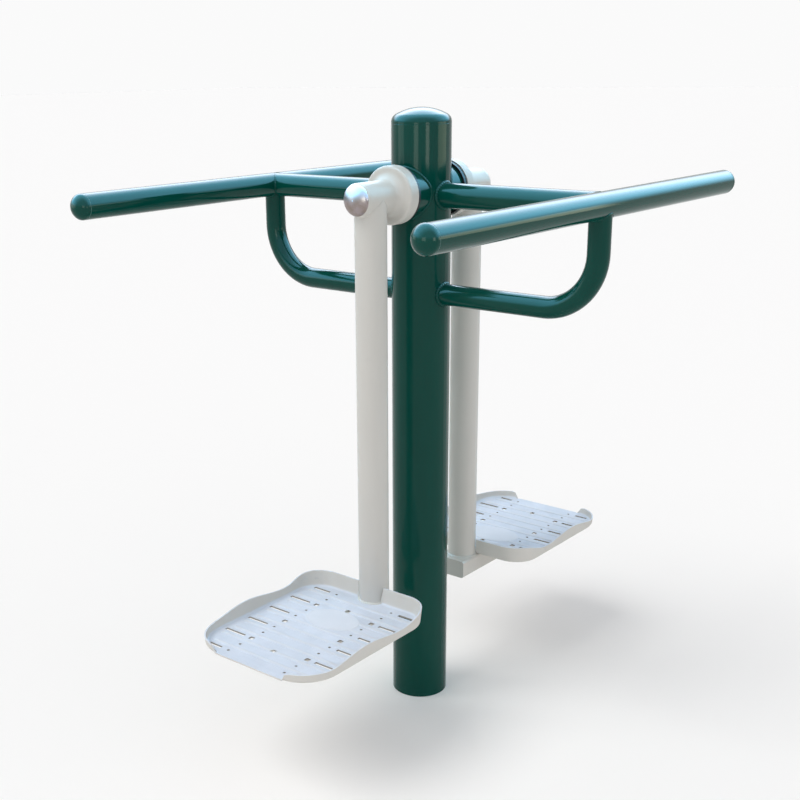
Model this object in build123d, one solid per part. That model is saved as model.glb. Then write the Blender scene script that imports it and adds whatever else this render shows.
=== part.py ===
from build123d import *
import math
import os

# Outdoor swing board trainer. Lengths are in millimetres and angles in degrees. Z is up, X runs along the
# arms and Y along the pivot axle, and the origin is the centre of the post's foot, at ground level.
# Right and left pieces, and rear and front ones, are the same piece turned half round about the post.

# Post and its cap
post_dia = 114.0
post_wall = 3.5
post_height = 1174.0
post_cap_rise = 30.0
post_cap_knuckle = 17.0

# Arms, handlebars and braces
handle_below_top = 129.0
arm_reach = 381.5
arm_dia = 47.0
arm_wall = 3.0
handle_dia = 47.5
handle_wall = 2.5
handle_length = 1002.0
handle_cap_rise = 22.0
handle_cap_knuckle = 14.0
brace_dia = 41.0
brace_wall = 3.0
brace_below_handle = 187.0
brace_bend = 105.0

# Caps share one pressed sheet and one spigot depth
cap_wall = 2.0
cap_skirt = 3.0
cap_edge = 0.8
cap_spigot = 10.0

# Pivot stubs on the post, with the plate that closes each one
pivot_below_top = 124.0
stub_dia = 95.0
stub_wall = 5.0
stub_reach = 21.0
stub_plate = 8.0
dust_ring_wall = 4.5
dust_ring_width = 8.0

# Stepped axle
axle_core_dia = 40.0
axle_shoulder_dia = 32.0
axle_seat_dia = 25.0
axle_thread_dia = 24.0
washer_dia = 34.0
washer_thickness = 3.0
nut_flats = 36.0
nut_height = 16.0
axle_end_past_nut = 1.5

# Bearings
bearing_dia = 52.0
bearing_width = 15.0
bearing_spacing = 52.0
inner_ring_wall = 3.0
outer_ring_wall = 3.0
seal_thickness = 1.2
seal_inset = 0.5

# Hub of each swing
hub_dia = 108.0
hub_wall = 4.0
hub_cup_depth = 16.5
hub_web = 8.0
hub_edge_round = 5.0
hub_weld = 14.0
hub_tube_wall = 4.0
hub_tube_past_washer = 18.0
hub_cap_rise = 20.0
hub_cap_knuckle = 12.0
bearing_past_web = 2.0

# Stops inside the hub
swing_limit = 45.0
stop_clearance = 0.5
stop_block_width = 14.0
stop_inner_radius = 24.0
stop_outer_radius = 42.0
stop_block_depth = 14.0
buffer_thickness = 6.0
buffer_margin = 2.0
lug_width = 10.0
lug_depth = 15.0

# Swing arm, carrier and pedal
swing_arm_dia = 60.0
swing_arm_wall = 3.0
swing_arm_past_hub = 50.0
pedal_drop = 793.0
carrier_width = 70.0
carrier_height = 38.0
carrier_wall = 3.0
carrier_round = 6.0
carrier_before_arm = 44.0
carrier_short_of_pedal = 130.0

# Pedal tray
pedal_width = 300.0
pedal_length = 355.0
pedal_past_arm = 11.0
pedal_corner = 55.0
pedal_outer_corner = 75.0
pedal_sheet = 3.0
pedal_fold = 8.0
rim_flare = 6.0
rim_high = 36.0
rim_dip = 20.0
rim_hump = 31.0
rim_low = 18.0
rim_high_until = 14.0
rim_dip_at = 94.0
rim_hump_before_end = 155.0
rim_low_before_end = 45.0
rim_gap_width = 172.0
rim_end_run = 12.0
arm_notch_side = 2.0

# Tread pattern
row_pitch = 30.7
row_margin = 22.0
slot_width = 7.0
slot_start = 88.0
slot_edge = 12.0
hole_column = 70.0
hole_dia = 5.5
square_side = 10.0
square_every = 3
centre_square_offset = 106.0
rib_width = 9.0
rib_height = 1.6
rib_edge = 18.0
oval_length = 124.0
oval_width = 84.0
oval_before_middle = 60.0

# Clearances
weld_gap = 0.2
seat_gap = 0.05
running_gap = 0.08
face_gap = 0.5
hub_gap = 1.5

# Distances from the post's axis along the axle
post_radius = post_dia / 2
stub_end = post_radius + stub_reach
hub_mouth = stub_end + hub_gap
hub_web_face = hub_mouth + hub_cup_depth
hub_face = hub_web_face + hub_web
bearing_start = hub_web_face + bearing_past_web
bearing_starts = (bearing_start, bearing_start + bearing_spacing)
washer_start = bearing_starts[1] + bearing_width
nut_start = washer_start + washer_thickness
axle_end = nut_start + nut_height + axle_end_past_nut
hub_tube_end = nut_start + hub_tube_past_washer
swing_arm_at = hub_face + swing_arm_past_hub
pedal_inboard = swing_arm_at + pedal_past_arm
pedal_outboard = pedal_inboard + pedal_length
pedal_middle = pedal_inboard + pedal_length / 2
carrier_start = swing_arm_at - carrier_before_arm
carrier_end = pedal_outboard - carrier_short_of_pedal

# Heights and radii that follow
handle_height = post_height - handle_below_top
brace_height = handle_height - brace_below_handle
pivot_height = post_height - pivot_below_top
handle_radius = handle_dia / 2
hub_tube_bore = bearing_dia / 2 + seat_gap
hub_tube_radius = hub_tube_bore + hub_tube_wall
inner_ring_radius = axle_seat_dia / 2 + seat_gap + inner_ring_wall
outer_ring_bore = bearing_dia / 2 - outer_ring_wall
pedal_base = pivot_height - pedal_drop


def turned(outline):
    """Solid of revolution about the axle, from (radius, distance from the post's axis) points."""
    profile = make_face(Polyline(*outline, close=True))
    return Pos(0, 0, pivot_height) * revolve(profile, Axis.Y)


def sleeve(inner, outer, start, end):
    """Round ring on the axle between two distances from the post's axis."""
    return turned([(inner, start), (outer, start), (outer, end), (inner, end)])


def tube(plane, dia, wall, length):
    """Round tube from the plane's origin along its normal."""
    return extrude(plane * (Circle(dia / 2) - Circle(dia / 2 - wall)), length)


def rod(plane, radius, length):
    """Round bar, used to cope tube ends and to drill holes."""
    return extrude(plane * Circle(radius), length, both=True)


def dome(radius, rise, knuckle):
    """Outline of a pressed dome from its skirt to its middle: a knuckle arc, then a flatter crown arc."""
    across = radius - knuckle
    height = rise - cap_skirt
    crown = (across**2 + height**2 - knuckle**2) / (2 * (height - knuckle))
    join = math.degrees(math.atan2(crown - height, across))
    return [
        CenterArc((across, cap_skirt), knuckle, 0, join),
        CenterArc((0, rise - crown), crown, join, 90 - join),
    ]


def domed_cap(plane, radius, rise, knuckle, bore):
    """Pressed domed cap whose spigot drops into a tube; the plane lies on the tube's end.

    Its skirt has a broken edge, which leaves a fine groove at the seam."""
    spigot = bore - seat_gap
    inside = spigot - cap_wall
    outer = dome(radius, rise, knuckle)
    inner = dome(inside, rise - cap_wall, knuckle - cap_wall)
    wall = Polyline((inside, cap_skirt), (inside, -cap_spigot), (spigot, -cap_spigot), (spigot, 0),
                    (radius - cap_edge, 0), (radius, cap_edge), (radius, cap_skirt))
    middle = Line((0, rise - cap_wall), (0, rise))
    profile = Plane.XZ * make_face(outer + inner + [wall, middle])
    return plane * revolve(profile, Axis.Z)


def group(solids):
    """Separate solids of one piece."""
    return Compound(children=solids)


def half_turn(shape):
    """The same piece on the other side of the post."""
    return shape.rotate(Axis.Z, 180)


def s_bend(start, end):
    """Two tangent arcs from one level to another, level at both ends."""
    run = end[0] - start[0]
    rise = end[1] - start[1]
    middle = (start[0] + run / 2, start[1] + rise / 2)
    return [TangentArc(start, middle, tangent=(1, 0)), TangentArc(end, middle, tangent=(-1, 0))]


def make_post():
    """Main tube, drilled through for the axle."""
    body = tube(Plane.XY, post_dia, post_wall, post_height)
    drill = rod(Plane.XZ, axle_core_dia / 2 + seat_gap, post_dia)
    return body - Pos(0, 0, pivot_height) * drill


def make_post_cap():
    plane = Plane((0, 0, post_height))
    return domed_cap(plane, post_radius, post_cap_rise, post_cap_knuckle, post_radius - post_wall)


def post_cope():
    """Cylinder that shapes a tube end to the post."""
    return rod(Plane.XY, post_radius + weld_gap, post_height)


def handle_cope():
    """Cylinder that shapes a tube end to the right handlebar."""
    plane = Plane((arm_reach, 0, handle_height), z_dir=(0, 1, 0))
    return rod(plane, handle_radius + weld_gap, handle_length / 2)


def arm_plane():
    """Plane across the right arm, on the post's axis."""
    return Plane((0, 0, handle_height), x_dir=(0, 1, 0), z_dir=(1, 0, 0))


def make_right_arm():
    """Level tube from the post to the handlebar, coped at both ends."""
    return tube(arm_plane(), arm_dia, arm_wall, arm_reach) - post_cope() - handle_cope()


def make_right_handlebar():
    plane = Plane((arm_reach, -handle_length / 2, handle_height), z_dir=(0, 1, 0))
    return tube(plane, handle_dia, handle_wall, handle_length)


def make_right_handle_cap():
    """Cap on the rear end of the right handlebar."""
    plane = Plane((arm_reach, handle_length / 2, handle_height), z_dir=(0, 1, 0))
    bore = handle_radius - handle_wall
    return domed_cap(plane, handle_radius, handle_cap_rise, handle_cap_knuckle, bore)


def make_right_brace():
    """Bent tube from the post out and up to the underside of the handlebar, coped clear of the arm."""
    bend_from = (arm_reach - brace_bend, 0, brace_height)
    bend_to = (arm_reach, 0, brace_height + brace_bend)
    run = Line((0, 0, brace_height), bend_from)
    bend = TangentArc(bend_from, bend_to, tangent=(1, 0, 0))
    rise = Line(bend_to, (arm_reach, 0, handle_height))
    plane = Plane((0, 0, brace_height), x_dir=(0, 1, 0), z_dir=(1, 0, 0))
    section = plane * (Circle(brace_dia / 2) - Circle(brace_dia / 2 - brace_wall))
    arm_cope = rod(arm_plane(), arm_dia / 2 + weld_gap, arm_reach)
    return sweep(section, path=Wire([run, bend, rise])) - post_cope() - handle_cope() - arm_cope


def make_rear_stub():
    """Short tube coped to the post, carrying the plate that the axle passes through."""
    plane = Plane((0, 0, pivot_height), z_dir=(0, 1, 0))
    return tube(plane, stub_dia, stub_wall, stub_end - stub_plate) - post_cope()


def make_rear_stub_plate():
    return sleeve(axle_core_dia / 2 + seat_gap, stub_dia / 2, stub_end - stub_plate, stub_end)


def make_rear_dust_ring():
    end = hub_mouth - face_gap
    bore = stub_dia / 2 + seat_gap
    return sleeve(bore, bore + dust_ring_wall, end - dust_ring_width, end)


def make_axle():
    """Stepped bar: core in the post, then shoulder, bearing seat and threaded end on each side."""
    plane = Plane((0, 0, pivot_height), z_dir=(0, 1, 0))
    bar = rod(plane, axle_core_dia / 2, stub_end)
    bar += rod(plane, axle_shoulder_dia / 2, bearing_start)
    bar += rod(plane, axle_seat_dia / 2, washer_start)
    return bar + rod(plane, axle_thread_dia / 2, axle_end)


def make_inner_rings():
    bore = axle_seat_dia / 2 + seat_gap
    return group([sleeve(bore, inner_ring_radius, y, y + bearing_width) for y in bearing_starts])


def make_outer_rings():
    """Outer rings with the two seals that run on the inner rings."""
    lip = inner_ring_radius + running_gap
    rings = []
    for y in bearing_starts:
        far = y + bearing_width
        rings.append(turned([
            (bearing_dia / 2, y), (bearing_dia / 2, far), (outer_ring_bore, far),
            (outer_ring_bore, far - seal_inset), (lip, far - seal_inset),
            (lip, far - seal_inset - seal_thickness), (outer_ring_bore, far - seal_inset - seal_thickness),
            (outer_ring_bore, y + seal_inset + seal_thickness), (lip, y + seal_inset + seal_thickness),
            (lip, y + seal_inset), (outer_ring_bore, y + seal_inset), (outer_ring_bore, y),
        ]))
    return group(rings)


def make_inner_spacer():
    """Sleeve on the axle between the two inner rings."""
    return sleeve(axle_seat_dia / 2 + seat_gap, inner_ring_radius,
                  bearing_starts[0] + bearing_width, bearing_starts[1])


def make_outer_spacer():
    """Sleeve in the hub tube between the two outer rings."""
    return sleeve(outer_ring_bore, bearing_dia / 2, bearing_starts[0] + bearing_width, bearing_starts[1])


def make_washer():
    return sleeve(axle_seat_dia / 2 + seat_gap, washer_dia / 2, washer_start, nut_start)


def make_nut():
    plane = Plane((0, nut_start, pivot_height), x_dir=(1, 0, 0), z_dir=(0, 1, 0))
    hexagon = RegularPolygon(nut_flats / 2, 6, major_radius=False)
    return extrude(plane * (hexagon - Circle(axle_thread_dia / 2 + seat_gap)), nut_height)


def make_hub_cup():
    """Open cup that turns over the stub's end, flared into the hub tube by a weld."""
    wall = hub_dia / 2
    root = hub_tube_radius + seat_gap
    inner = Polyline((root, hub_face + hub_weld), (root, hub_web_face), (wall - hub_wall, hub_web_face),
                     (wall - hub_wall, hub_mouth), (wall, hub_mouth), (wall, hub_face - hub_edge_round))
    edge = TangentArc((wall, hub_face - hub_edge_round), (wall - hub_edge_round, hub_face), tangent=(0, 1))
    face = Line((wall - hub_edge_round, hub_face), (root + hub_weld, hub_face))
    flare = TangentArc((root + hub_weld, hub_face), (root, hub_face + hub_weld), tangent=(-1, 0))
    profile = make_face([inner, edge, face, flare])
    return Pos(0, 0, pivot_height) * revolve(profile, Axis.Y)


def make_hub_tube():
    return sleeve(hub_tube_bore, hub_tube_radius, hub_web_face, hub_tube_end)


def make_hub_cap():
    plane = Plane((0, hub_tube_end, pivot_height), z_dir=(0, 1, 0))
    return domed_cap(plane, hub_tube_radius, hub_cap_rise, hub_cap_knuckle, hub_tube_bore)


def stop_bar(left, right, inner, outer, start, end):
    """Bar above the axle, given across the hub, out from the axle and along it."""
    bar = Box(right - left, end - start, outer - inner)
    return Pos((left + right) / 2, (start + end) / 2, pivot_height + (inner + outer) / 2) * bar


def turned_to_limit(shape):
    """A piece beside the stop block, turned back to where it waits at rest, and its mirror image."""
    pivot = Axis((0, 0, pivot_height), (0, 1, 0))
    waiting = shape.rotate(pivot, swing_limit + stop_clearance)
    return group([waiting, waiting.mirror(Plane.YZ)])


def make_stop_block():
    half = stop_block_width / 2
    return stop_bar(-half, half, stop_inner_radius, stop_outer_radius, stub_end, stub_end + stop_block_depth)


def make_stop_lugs():
    near = stop_block_width / 2 + buffer_thickness
    lug = stop_bar(near, near + lug_width, stop_inner_radius, stop_outer_radius,
                   hub_web_face - lug_depth, hub_web_face)
    return turned_to_limit(lug)


def make_stop_buffers():
    near = stop_block_width / 2
    pad = stop_bar(near, near + buffer_thickness, stop_inner_radius + buffer_margin,
                   stop_outer_radius - buffer_margin, hub_web_face - lug_depth + buffer_margin,
                   hub_web_face - buffer_margin)
    return turned_to_limit(pad)


def make_swing_arm():
    """Tube from the carrier up to the hub tube, coped round it."""
    plane = Plane((0, swing_arm_at, pedal_base))
    cope = rod(Plane((0, 0, pivot_height), z_dir=(0, 1, 0)), hub_tube_radius + weld_gap, hub_tube_end)
    return tube(plane, swing_arm_dia, swing_arm_wall, pedal_drop) - cope


def carrier_section(inset):
    """Rounded box section of the carrier on its inboard end, shrunk by an inset."""
    centre = (0, carrier_start, pedal_base - carrier_height / 2)
    plane = Plane(centre, x_dir=(1, 0, 0), z_dir=(0, 1, 0))
    return plane * RectangleRounded(carrier_width - 2 * inset, carrier_height - 2 * inset, carrier_round - inset)


def make_carrier():
    return extrude(carrier_section(0) - carrier_section(carrier_wall), carrier_end - carrier_start)


def make_carrier_plates():
    """Plates let into both ends of the carrier."""
    plate = extrude(carrier_section(carrier_wall + seat_gap), carrier_wall)
    return group([plate, Pos(0, carrier_end - carrier_start - carrier_wall, 0) * plate])


def half_width(y):
    """Half the tray's width at a distance from the post's axis, less in the rounded corners."""
    corner = pedal_corner if y < pedal_middle else pedal_outer_corner
    to_edge = min(y - pedal_inboard, pedal_outboard - y)
    if to_edge >= corner:
        return pedal_width / 2
    return pedal_width / 2 - corner + math.sqrt(corner**2 - (corner - to_edge) ** 2)


def tray_outline(inset):
    """Outline of the tray, with wider corners at its open outboard end, shrunk by an inset."""
    outline = Pos(0, pedal_middle) * Rectangle(pedal_width - 2 * inset, pedal_length - 2 * inset)
    outline = fillet(outline.vertices().group_by(Axis.Y)[0], pedal_corner - inset)
    return fillet(outline.vertices().group_by(Axis.Y)[-1], pedal_outer_corner - inset)


def tray_block(inset, level, fold):
    """Flared block of the tray's outline, with its lower edge folded round."""
    block = extrude(Pos(0, 0, level) * tray_outline(inset), rim_high - level + weld_gap, taper=-rim_flare)
    return fillet(block.edges().group_by(Axis.Z)[0], fold)


def rim_wave():
    """Block above the rim's wavy top edge, which follows the distance from the post."""
    crest = (pedal_inboard + rim_high_until, rim_high)
    dip = (pedal_inboard + rim_dip_at, rim_dip)
    hump = (pedal_outboard - rim_hump_before_end, rim_hump)
    low = (pedal_outboard - rim_low_before_end, rim_low)
    first = (pedal_inboard - rim_high, rim_high)
    last = (pedal_outboard + rim_high, rim_low)
    ceiling = 2 * rim_high
    edges = [Line(first, crest)] + s_bend(crest, dip) + s_bend(dip, hump) + s_bend(hump, low)
    edges += [Polyline(low, last, (last[0], ceiling), (first[0], ceiling), first)]
    return extrude(Plane.YZ * make_face(edges), pedal_width, both=True)


def rim_opening():
    """Block that opens the outboard rim between its two rounded ends."""
    half = rim_gap_width / 2
    wide = half + rim_end_run
    shoulder = rim_low + pedal_sheet
    ceiling = 2 * rim_high
    ends = [TangentArc((x, pedal_sheet), (x / half * wide, shoulder), tangent=(0, 1)) for x in (-half, half)]
    floor = Line((-half, pedal_sheet), (half, pedal_sheet))
    over = Polyline((-wide, shoulder), (-wide, ceiling), (wide, ceiling), (wide, shoulder))
    block = extrude(Plane.XZ * make_face(ends + [floor, over]), -2 * pedal_outer_corner)
    return Pos(0, pedal_outboard - pedal_outer_corner, 0) * block


def tread_rows():
    """Distances of the hole rows from the post's axis, centred on the tread."""
    count = int((pedal_length - 2 * row_margin) / row_pitch) + 1
    first = pedal_middle - (count - 1) * row_pitch / 2
    return [first + i * row_pitch for i in range(count)]


def tread_cuts():
    """Slots at both sides of every second row, round and square holes in two columns."""
    cuts = []
    for i, y in enumerate(tread_rows()):
        square = i % square_every == square_every - 1
        for side in (-1, 1):
            hole = Rectangle(square_side, square_side) if square else Circle(hole_dia / 2)
            cuts.append(Pos(side * hole_column, y) * hole)
            if i % 2 == 0:
                slot_end = half_width(y) - slot_edge
                slot = Rectangle(slot_end - slot_start, slot_width)
                cuts.append(Pos(side * (slot_start + slot_end) / 2, y) * slot)
    for side in (-1, 1):
        cuts.append(Pos(0, pedal_middle + side * centre_square_offset) * Rectangle(square_side, square_side))
    return extrude(Sketch() + cuts, rim_high, both=True)


def tread_ribs():
    """Low pressed ribs between the rows, and the plain oval pad."""
    rows = tread_rows()
    shapes = []
    for y in [(a + b) / 2 for a, b in zip(rows, rows[1:])]:
        shapes.append(Pos(0, y) * Rectangle(2 * (half_width(y) - rib_edge), rib_width))
    shapes.append(Pos(0, pedal_middle - oval_before_middle) * Ellipse(oval_length / 2, oval_width / 2))
    return Pos(0, 0, pedal_sheet) * extrude(Sketch() + shapes, rib_height)


def make_pedal():
    """Pressed tray: wavy flared rim, open outboard side, notch for the arm, ribs, slots and holes."""
    tray = tray_block(0, 0, pedal_fold) - tray_block(pedal_sheet, pedal_sheet, pedal_fold - pedal_sheet)
    tray = tray - rim_wave() - rim_opening()
    notch_depth = pedal_sheet + pedal_fold
    notch_width = swing_arm_dia + 2 * arm_notch_side
    notch = Box(notch_width, 2 * notch_depth, rim_high, align=(Align.CENTER, Align.CENTER, Align.MIN))
    tray = tray - Pos(0, pedal_inboard, pedal_sheet) * notch
    tray = tray + tread_ribs() - tread_cuts()
    tray = tray - rod(Plane((0, swing_arm_at, 0)), swing_arm_dia / 2 + weld_gap, rim_high)
    return Pos(0, 0, pedal_base) * tray


def write(name, shape):
    """Write one node."""
    export_step(shape, f"parts/{name}.step")


os.makedirs("parts", exist_ok=True)
write("main_post", make_post())
write("post_cap", make_post_cap())
write("axle", make_axle())

right_pieces = {
    "arm": make_right_arm(),
    "handlebar": make_right_handlebar(),
    "brace": make_right_brace(),
}
for name, shape in right_pieces.items():
    write(f"right_{name}", shape)
    write(f"left_{name}", half_turn(shape))

right_cap = make_right_handle_cap()
write("right_handle_rear_cap", right_cap)
write("right_handle_front_cap", right_cap.mirror(Plane.XZ))
write("left_handle_front_cap", half_turn(right_cap))
write("left_handle_rear_cap", half_turn(right_cap.mirror(Plane.XZ)))

rear_pieces = {
    "pivot_stub": make_rear_stub(),
    "stub_plate": make_rear_stub_plate(),
    "dust_ring": make_rear_dust_ring(),
    "stop_block": make_stop_block(),
    "bearing_inner_rings": make_inner_rings(),
    "inner_spacer": make_inner_spacer(),
    "axle_washer": make_washer(),
    "axle_nut": make_nut(),
    "hub_cup": make_hub_cup(),
    "hub_tube": make_hub_tube(),
    "hub_cap": make_hub_cap(),
    "bearing_outer_rings": make_outer_rings(),
    "outer_spacer": make_outer_spacer(),
    "stop_lugs": make_stop_lugs(),
    "stop_buffers": make_stop_buffers(),
    "swing_arm": make_swing_arm(),
    "carrier": make_carrier(),
    "carrier_end_plates": make_carrier_plates(),
    "pedal": make_pedal(),
}
for name, shape in rear_pieces.items():
    write(f"rear_{name}", shape)
    write(f"front_{name}", half_turn(shape))
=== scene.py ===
# %% [markdown]
# # An outdoor swing board trainer
# The trainer is a green steel post with two handlebars. On each side a cream swing arm hangs from a hub,
# and a pressed steel pedal tray is welded to its foot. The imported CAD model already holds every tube, hub
# and cap at its true size, so this script keeps those pieces, gives them real finishes, and models what
# CAD leaves plain: the weld beads, the seams of the end caps and the two pressed pedals.

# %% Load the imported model
import math

import bmesh
import bpy
from mathutils import Matrix, Vector


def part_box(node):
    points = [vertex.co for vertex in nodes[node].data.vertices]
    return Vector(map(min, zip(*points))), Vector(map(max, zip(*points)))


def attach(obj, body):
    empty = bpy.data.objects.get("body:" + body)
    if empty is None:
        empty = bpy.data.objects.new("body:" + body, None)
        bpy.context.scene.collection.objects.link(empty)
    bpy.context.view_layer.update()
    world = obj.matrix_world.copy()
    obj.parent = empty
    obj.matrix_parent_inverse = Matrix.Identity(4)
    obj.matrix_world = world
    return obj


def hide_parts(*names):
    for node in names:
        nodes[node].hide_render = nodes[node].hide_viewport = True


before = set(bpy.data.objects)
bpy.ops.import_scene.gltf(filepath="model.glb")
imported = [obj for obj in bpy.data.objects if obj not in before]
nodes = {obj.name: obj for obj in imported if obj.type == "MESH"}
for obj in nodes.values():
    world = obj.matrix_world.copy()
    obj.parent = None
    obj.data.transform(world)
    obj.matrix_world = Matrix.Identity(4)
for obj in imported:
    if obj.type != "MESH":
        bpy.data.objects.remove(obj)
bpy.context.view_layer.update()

# %% [markdown]
# ## Camera
# A camera is a place, a direction and a lens. The direction is written as three angles, because that is
# how a photographer would describe it: how far the camera is turned, tilted down and leaning. The picture
# is a crop from a larger one, so its centre is not where the lens points, and the camera's shift puts
# that right.

# %% Camera at the photographer's place
image_side = 800.0
sensor = 36.0
focal_pixels = 1195.06
lens_centre_pixels = (351.57, 458.22)
camera_place = Vector((1.3804, -1.8651, 1.2766))
camera_turn = math.radians(39.97)
camera_tilt = math.radians(-18.14)
camera_lean = math.radians(-0.88)

level_right = Vector((math.cos(camera_turn), math.sin(camera_turn), 0))
level_forward = Vector((-math.sin(camera_turn), math.cos(camera_turn), 0))
forward = level_forward * math.cos(camera_tilt) + Vector((0, 0, math.sin(camera_tilt)))
level_up = level_right.cross(forward)
right = level_right * math.cos(camera_lean) + level_up * math.sin(camera_lean)
up = level_up * math.cos(camera_lean) - level_right * math.sin(camera_lean)

camera_data = bpy.data.cameras.new("camera")
camera_data.sensor_width = sensor
camera_data.lens = sensor * focal_pixels / image_side
camera_data.shift_x = (image_side / 2 - lens_centre_pixels[0]) / image_side
camera_data.shift_y = (lens_centre_pixels[1] - image_side / 2) / image_side
camera = bpy.data.objects.new("camera", camera_data)
axes = Matrix((right, up, -forward)).transposed()
camera.matrix_world = Matrix.Translation(camera_place) @ axes.to_4x4()
bpy.context.scene.collection.objects.link(camera)
bpy.context.scene.camera = camera
print("camera lens", round(camera_data.lens, 2), "mm")

# %% [markdown]
# ## Nodes by name
# Every finish below is a small graph of nodes. Two helpers keep the cells short: one adds a node and
# fills in its settings and inputs, the other joins an output to an input.

# %% Two helpers for node graphs
def add_node(tree, kind, settings=None, **inputs):
    """Adds a node, sets its options and fills its inputs, whose names are written with underscores."""
    new = tree.nodes.new(kind)
    for option, value in (settings or {}).items():
        setattr(new, option, value)
    for name, value in inputs.items():
        new.inputs[name.replace("_", " ")].default_value = value
    return new


def join(tree, start, output, end, socket):
    """Links an output of one node to an input of another."""
    tree.links.new(start.outputs[output], end.inputs[socket])


print("helpers ready")

# %% [markdown]
# ## Stage and light
# Glossy paint looks like what it mirrors. Seen from above, the tubes mirror the sky behind them, and it
# draws the pale blue band along their tops, so the world has a sky that only mirror rays see: white at
# the horizon, dimmer behind the camera, deep blue to the sides and pale behind the object. There the
# horizon lies a little higher, so that the upper edges of the tubes stay darker than the band below them.
# The light that falls on the object comes from a dimmer, slightly blue sky and two soft suns, at a level
# where a colour renders about as it is written. The floor is a plain pale sheet, a little warm so that
# the blue light leaves it neutral.

# %% Pale floor
floor_side = 120.0
floor_drop = 0.0005
floor_shade = (0.962, 0.943, 0.922, 1)
bpy.ops.object.select_all(action="DESELECT")
bpy.ops.mesh.primitive_plane_add(size=floor_side, location=(0, 0, -floor_drop))
floor = bpy.context.object
floor.name = "floor"
floor_paint = bpy.data.materials.new("pale_floor")
floor_paint.use_nodes = True
floor_shader = floor_paint.node_tree.nodes["Principled BSDF"]
floor_shader.inputs["Base Color"].default_value = floor_shade
floor_shader.inputs["Roughness"].default_value = 0.9
floor_shader.inputs["Specular IOR Level"].default_value = 0.0
floor.data.materials.append(floor_paint)
print("floor", floor_side, "m wide")

# %% World: soft light, white surround and a mirrored sky
sky_light = (0.56, 0.58, 0.61, 1)
surround = (0.958, 0.958, 0.958, 1)
near_sky = (0.45, 0.75, 1.0, 1)
near_strength = 3.0
deep_sky = (0.22, 0.61, 0.86, 1)
pale_sky = (0.66, 0.75, 0.90, 1)
far_strength = 13.0
pale_from_away = (0.35, 0.95)
far_from_away = (-0.75, 0.05)
rise_from_away = (0.50, 0.95)
horizon_rise = 0.22
horizon_blur = 0.40

world = bpy.data.worlds.new("studio")
world.use_nodes = True
bpy.context.scene.world = world
tree = world.node_tree
tree.nodes.clear()
place = add_node(tree, "ShaderNodeTexCoord")
split = add_node(tree, "ShaderNodeSeparateXYZ")
join(tree, place, "Generated", split, "Vector")
away = add_node(tree, "ShaderNodeVectorMath", {"operation": "DOT_PRODUCT"})
join(tree, place, "Generated", away, 0)
away.inputs[1].default_value = level_forward


def eased(value, output, low, high):
    """A soft step from 0 to 1 while a value goes from low to high."""
    step = add_node(tree, "ShaderNodeMapRange", {"interpolation_type": "SMOOTHSTEP"},
                    From_Min=low, From_Max=high)
    join(tree, value, output, step, "Value")
    return step


def blend(factor, output, first, second):
    """A mix of two backgrounds or mixes."""
    mix = add_node(tree, "ShaderNodeMixShader")
    join(tree, factor, output, mix, 0)
    tree.links.new(first.outputs[0], mix.inputs[1])
    tree.links.new(second.outputs[0], mix.inputs[2])
    return mix


def plain_sky(colour, strength):
    """An even background."""
    return add_node(tree, "ShaderNodeBackground", Color=colour, Strength=strength)


white_surround = plain_sky(surround, 1.0)
far_sky = blend(eased(away, "Value", *pale_from_away), "Result", plain_sky(deep_sky, far_strength),
                plain_sky(pale_sky, far_strength))
high_sky = blend(eased(away, "Value", *far_from_away), "Result", plain_sky(near_sky, near_strength), far_sky)
above_horizon = add_node(tree, "ShaderNodeMath", {"operation": "MULTIPLY_ADD"})
join(tree, eased(away, "Value", *rise_from_away), "Result", above_horizon, 0)
above_horizon.inputs[1].default_value = -horizon_rise
join(tree, split, "Z", above_horizon, 2)
mirrored_sky = blend(eased(above_horizon, "Value", 0.0, horizon_blur), "Result", white_surround, high_sky)
rays = add_node(tree, "ShaderNodeLightPath")
mirror_ray = add_node(tree, "ShaderNodeMath", {"operation": "MAXIMUM"})
join(tree, rays, "Is Glossy Ray", mirror_ray, 0)
join(tree, rays, "Is Transmission Ray", mirror_ray, 1)
lit_or_mirrored = blend(mirror_ray, "Value", plain_sky(sky_light, 1.0), mirrored_sky)
whole_sky = blend(rays, "Is Camera Ray", lit_or_mirrored, white_surround)
world_output = add_node(tree, "ShaderNodeOutputWorld")
join(tree, whole_sky, "Shader", world_output, "Surface")
bpy.context.scene.view_settings.view_transform = "Standard"
print("world ready, sky in mirrors", near_strength, "to", far_strength)

# %% Two soft suns
def soft_sun(name, comes_from, strength, spread, colour):
    """A sun lamp whose disc is spread degrees wide, shining from a direction and not seen in mirrors."""
    lamp_data = bpy.data.lights.new(name, "SUN")
    lamp_data.energy = strength
    lamp_data.angle = math.radians(spread)
    lamp_data.color = colour
    lamp = bpy.data.objects.new(name, lamp_data)
    lamp.rotation_euler = Vector(comes_from).to_track_quat("Z", "Y").to_euler()
    lamp.visible_glossy = False
    bpy.context.scene.collection.objects.link(lamp)


soft_sun("key", comes_from=(-0.45, -0.75, 1.3), strength=1.40, spread=36, colour=(1.0, 0.99, 0.97))
soft_sun("fill", comes_from=(0.9, -0.2, 0.8), strength=0.35, spread=80, colour=(0.96, 0.98, 1.0))
print("two suns ready")

# %% [markdown]
# ## Strip lights
# A round post shows upright streaks where it mirrors upright things. Four narrow strip lights stand round
# the top of the post and are seen in mirrors only. Their direction is an angle round the post, like a
# compass.

# %% Strips mirrored by the top of the post
strip_distance = 1.5
strip_low = 0.965
strip_high = 1.30


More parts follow.
